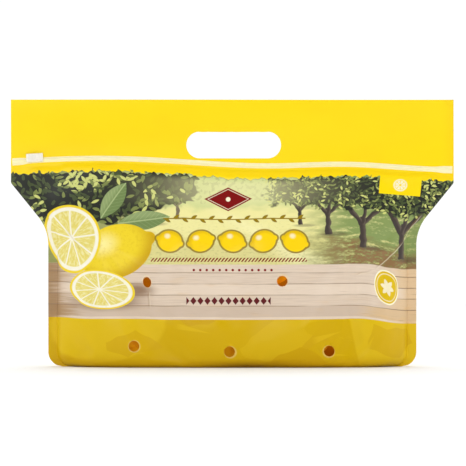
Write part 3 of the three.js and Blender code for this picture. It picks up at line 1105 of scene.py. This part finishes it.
def lay_badges(coat):
    """A plain tab that hangs from the header, and a plain ringed oval on the boards."""
    tab = coat.seen(126, 136, -4, 15.8, 8.2)
    coat.lay(YELLOW, abs(tab.part(0)).most(abs(tab.part(1))).fall(0.98, 1.0))
    wheel = coat.seen(126, 135, 0, 5.2, 5.2)
    reach = wheel.length()
    spokes = abs(wheel.turn().repeat(math.tau / 8)).fall(0.36, 0.42)
    coat.lay(PALE, reach.bell(0.9, 0.1) + spokes * reach.fall(0.68, 0.76) * reach.rise(0.14, 0.2))
    oval = coat.seen(116, 59.5, 14, 10.4, 13.2)
    edge = oval.length()
    coat.lay(PALE, edge.fall(0.98, 1.02))
    coat.lay(AMBER_LIGHT, edge.fall(0.9, 0.93))
    coat.lay(PALE, edge.bell(0.78, 0.03) * 0.8)
    petal = edge * 1.9 + abs(oval.turn().repeat(math.tau / 6)) * 0.9
    coat.lay(PALE, petal.fall(0.92, 1.0) * 0.85)


TREES = [  # x, foot and top as seen from the front, and girth
    (-62, 108, 134, 4.2),
    (-41, 112, 134, 2.8),
    (50, 107, 134, 3.4),
    (71, 100, 134, 4.4),
    (97, 90, 132, 5.6),
    (127, 80, 130, 7),
]


def lay_trees(coat):
    for x, foot, top, girth in TREES:
        lay_tree(coat, x, foot, top, girth, BARK if girth > 3 else BARK_FAR)


def lay_rims(coat):
    """The pale, slightly melted rims of the vents."""
    rim = None
    for x, z, pinch, degrees in FRONT_VENTS:
        hole = coat.seen(x, z, degrees, pinch * VENT_RADIUS, VENT_RADIUS)
        ring = hole.length().fall(1.08, 1.26)
        rim = ring if rim is None else rim.most(ring)
    coat.lay(RIM, rim * 0.35)


def lay_crease_glints_and_shade(coat):
    """Painted light and shade along each crease: a painted highlight along it and painted shade beside it.
    """
    for start_x, start_z, end_x, end_z, deep, _ in CREASES:
        start, end = Vector(on_film(start_x, start_z)), Vector(on_film(end_x, end_z))
        middle, run = (start + end) / 2, end - start
        turn = math.degrees(math.atan2(run.y, run.x))
        line = coat.place.moved_by_noise(9, 0.8).local(*middle, turn, run.length / 2, 1)
        inside = abs(line.part(0)).fall(0.5, 1.0) * (deep * 0.45)
        # Painted shade on one side of the crease, in the print's earth brown, then a painted highlight
        # along it.
        coat.lay(EARTH_AND_CREASE_SHADE, line.part(1).bell(-0.7, 0.7) * inside)
        coat.lay(PALE, line.part(1).bell(0.2, 0.35) * inside)


# The layers in order. lay_header and lay_foot also paint shade and sheen, and the crease layer paints a
# highlight and shade along each crease.
LANDSCAPE_AND_PAINTED_LIGHT = (
    lay_meadow, lay_far_leaves, lay_trees, lay_header, lay_right_leaves, lay_left_leaves, lay_haze,
    lay_planks, lay_foot,
)
ORNAMENTS_AND_CREASE_LIGHT = (lay_fruit_group, lay_title_row, lay_red_trim, lay_badges, lay_rims, lay_crease_glints_and_shade)


def layer_group(draw):
    """A node group that lays one layer of the print, or of its painted light and shade, over the colour
    under it.
    """
    if draw.__name__ in bpy.data.node_groups:
        return bpy.data.node_groups[draw.__name__]
    group = bpy.data.node_groups.new(draw.__name__, "ShaderNodeTree")
    group.interface.new_socket("Place", in_out="INPUT", socket_type="NodeSocketVector")
    group.interface.new_socket("Under", in_out="INPUT", socket_type="NodeSocketColor")
    group.interface.new_socket("Colour", in_out="OUTPUT", socket_type="NodeSocketColor")
    given, made = group.nodes.new("NodeGroupInput"), group.nodes.new("NodeGroupOutput")
    coat = Coat(Field(group, given.outputs[0]), Field(group, given.outputs[1]))
    draw(coat)
    group.links.new(coat.colour.socket, made.inputs[0])
    return group


def film_material(name, layers):
    material, tree, shader = new_material(name, 0.34)
    flat = tree.nodes.new("ShaderNodeAttribute")
    flat.attribute_name = "flat"
    place, colour = Field(tree, flat.outputs["Vector"]), MEADOW
    for draw in layers:
        colour = place.node("ShaderNodeGroup", {0: place, 1: colour}, node_tree=layer_group(draw))
    tree.links.new(colour.socket, shader.inputs["Base Color"])
    shader.inputs["Specular IOR Level"].default_value = 0.11
    return material


def plain_material(name, colour, roughness):
    material, tree, shader = new_material(name, roughness)
    place = object_place(tree)
    coat = Coat(place, colour)
    coat.lay(tuple(0.9 * c for c in colour[:3]) + (1,), place.noise(3, 3))
    tree.links.new(coat.colour.socket, shader.inputs["Base Color"])
    return material


def fruit_material():
    """Lemon skin with pores. It glows a little, as the light that the thin film lets through."""
    material, tree, shader = new_material("lemon_skin", 0.45)
    place = object_place(tree)
    coat = Coat(place, srgb(240, 176, 20))
    coat.lay(srgb(214, 138, 14), place.noise(9, 3).rise(0.4, 0.7))
    coat.lay(srgb(190, 116, 10), place.cells(1.5).fall(0.1, 0.35) * 0.5)
    for name in ("Base Color", "Emission Color"):
        tree.links.new(coat.colour.socket, shader.inputs[name])
    shader.inputs["Emission Strength"].default_value = 0.3
    return material


# ---- Build --------------------------------------------------------------------------------------
# The films' materials: the print with its painted light and shade.
front_print_and_painted_light = film_material("front_print_and_painted_light", LANDSCAPE_AND_PAINTED_LIGHT + ORNAMENTS_AND_CREASE_LIGHT)
back_print_and_painted_light = film_material("back_print_and_painted_light", LANDSCAPE_AND_PAINTED_LIGHT)

fruit = lemons()
fruit.data.materials.append(fruit_material())
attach(fruit, "root")

stops = drape_colliders(fruit)
front = film_panel("front_film", -1, FRONT_VENTS, drape(-1, fold_depth))
back = film_panel("back_film", 1, BACK_VENTS, drape(1, lambda x, z: 0 * x))
for obj in stops:
    bpy.data.objects.remove(obj)
base = base_panel()
for panel, material in ((front, front_print_and_painted_light), (back, back_print_and_painted_light), (base, back_print_and_painted_light)):
    panel.data.materials.append(material)
    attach(panel, "root")
    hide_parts("pouch")

strip = zip_strip()
strip.data.materials.append(plain_material("zip_strip", CREAM, 0.45))
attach(strip, "root")
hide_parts("zip_track")

slider = zip_slider()
slider.data.materials.append(plain_material("slider_plastic", srgb(248, 243, 230), 0.35))
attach(slider, "root")
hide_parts("zip_slider")


# ---- Floor, light and camera --------------------------------------------------------------------
BACKDROP, FRONT_LIGHT = 1.04, 0.12  # brightness of the room behind the pouch and before it


LAMPS = [  # name, place, aim, size and power
    ("overhead", (0, 1.3, 2.6), (0, 1.2, 0), (4.5, 4.5), 56),
    ("key", (-0.5, -2.2, 0.7), (0, 0, 0.1), (0.9, 0.9), 19),
    ("side", (1.3, -0.6, 0.5), (0, 0, 0.1), (0.3, 1.0), 3),
]
FRAME_WIDTH = 0.3495  # metres across the picture at the pouch
CAMERA_DISTANCE = 2.6
SENSOR = 36


def make_floor():
    half = 2400
    corners = [(-half, -half, 0), (half, -half, 0), (half, half, 0), (-half, half, 0)]
    floor = mesh_object("floor", corners, [[0, 1, 2, 3]])
    material, _, shader = new_material("floor", 0.8)
    shader.inputs["Base Color"].default_value = (0.86, 0.86, 0.86, 1)
    floor.data.materials.append(material)


def make_world():
    """A bright backdrop behind the pouch, and dimmer light from the front."""
    world = bpy.data.worlds.new("studio")
    world.use_nodes = True
    bpy.context.scene.world = world
    tree = world.node_tree
    background = tree.nodes["Background"]
    background.inputs["Color"].default_value = (1, 1, 1, 1)
    direction = Field(tree, tree.nodes.new("ShaderNodeTexCoord").outputs["Generated"])
    strength = direction.part(1).rise(-0.8, 0.1) * (BACKDROP - FRONT_LIGHT) + FRONT_LIGHT
    tree.links.new(strength.socket, background.inputs["Strength"])


def area_light(name, place, aim, size, power):
    data = bpy.data.lights.new(name, "AREA")
    data.shape = "RECTANGLE"
    data.size, data.size_y = size
    data.energy = power
    lamp = new_object(name, data)
    lamp.location = place
    lamp.rotation_euler = (Vector(aim) - Vector(place)).to_track_quat("-Z", "Y").to_euler()


def make_camera():
    data = bpy.data.cameras.new("camera")
    data.sensor_width = SENSOR
    data.lens = SENSOR * CAMERA_DISTANCE / FRAME_WIDTH
    camera = new_object("camera", data)
    camera.location = (0.0005, -CAMERA_DISTANCE, 0.1)
    camera.rotation_euler = (math.pi / 2, 0, 0)
    bpy.context.scene.camera = camera


make_floor()
make_world()
for lamp in LAMPS:
    area_light(*lamp)
make_camera()
scene = bpy.context.scene
scene.view_settings.view_transform = "Standard"
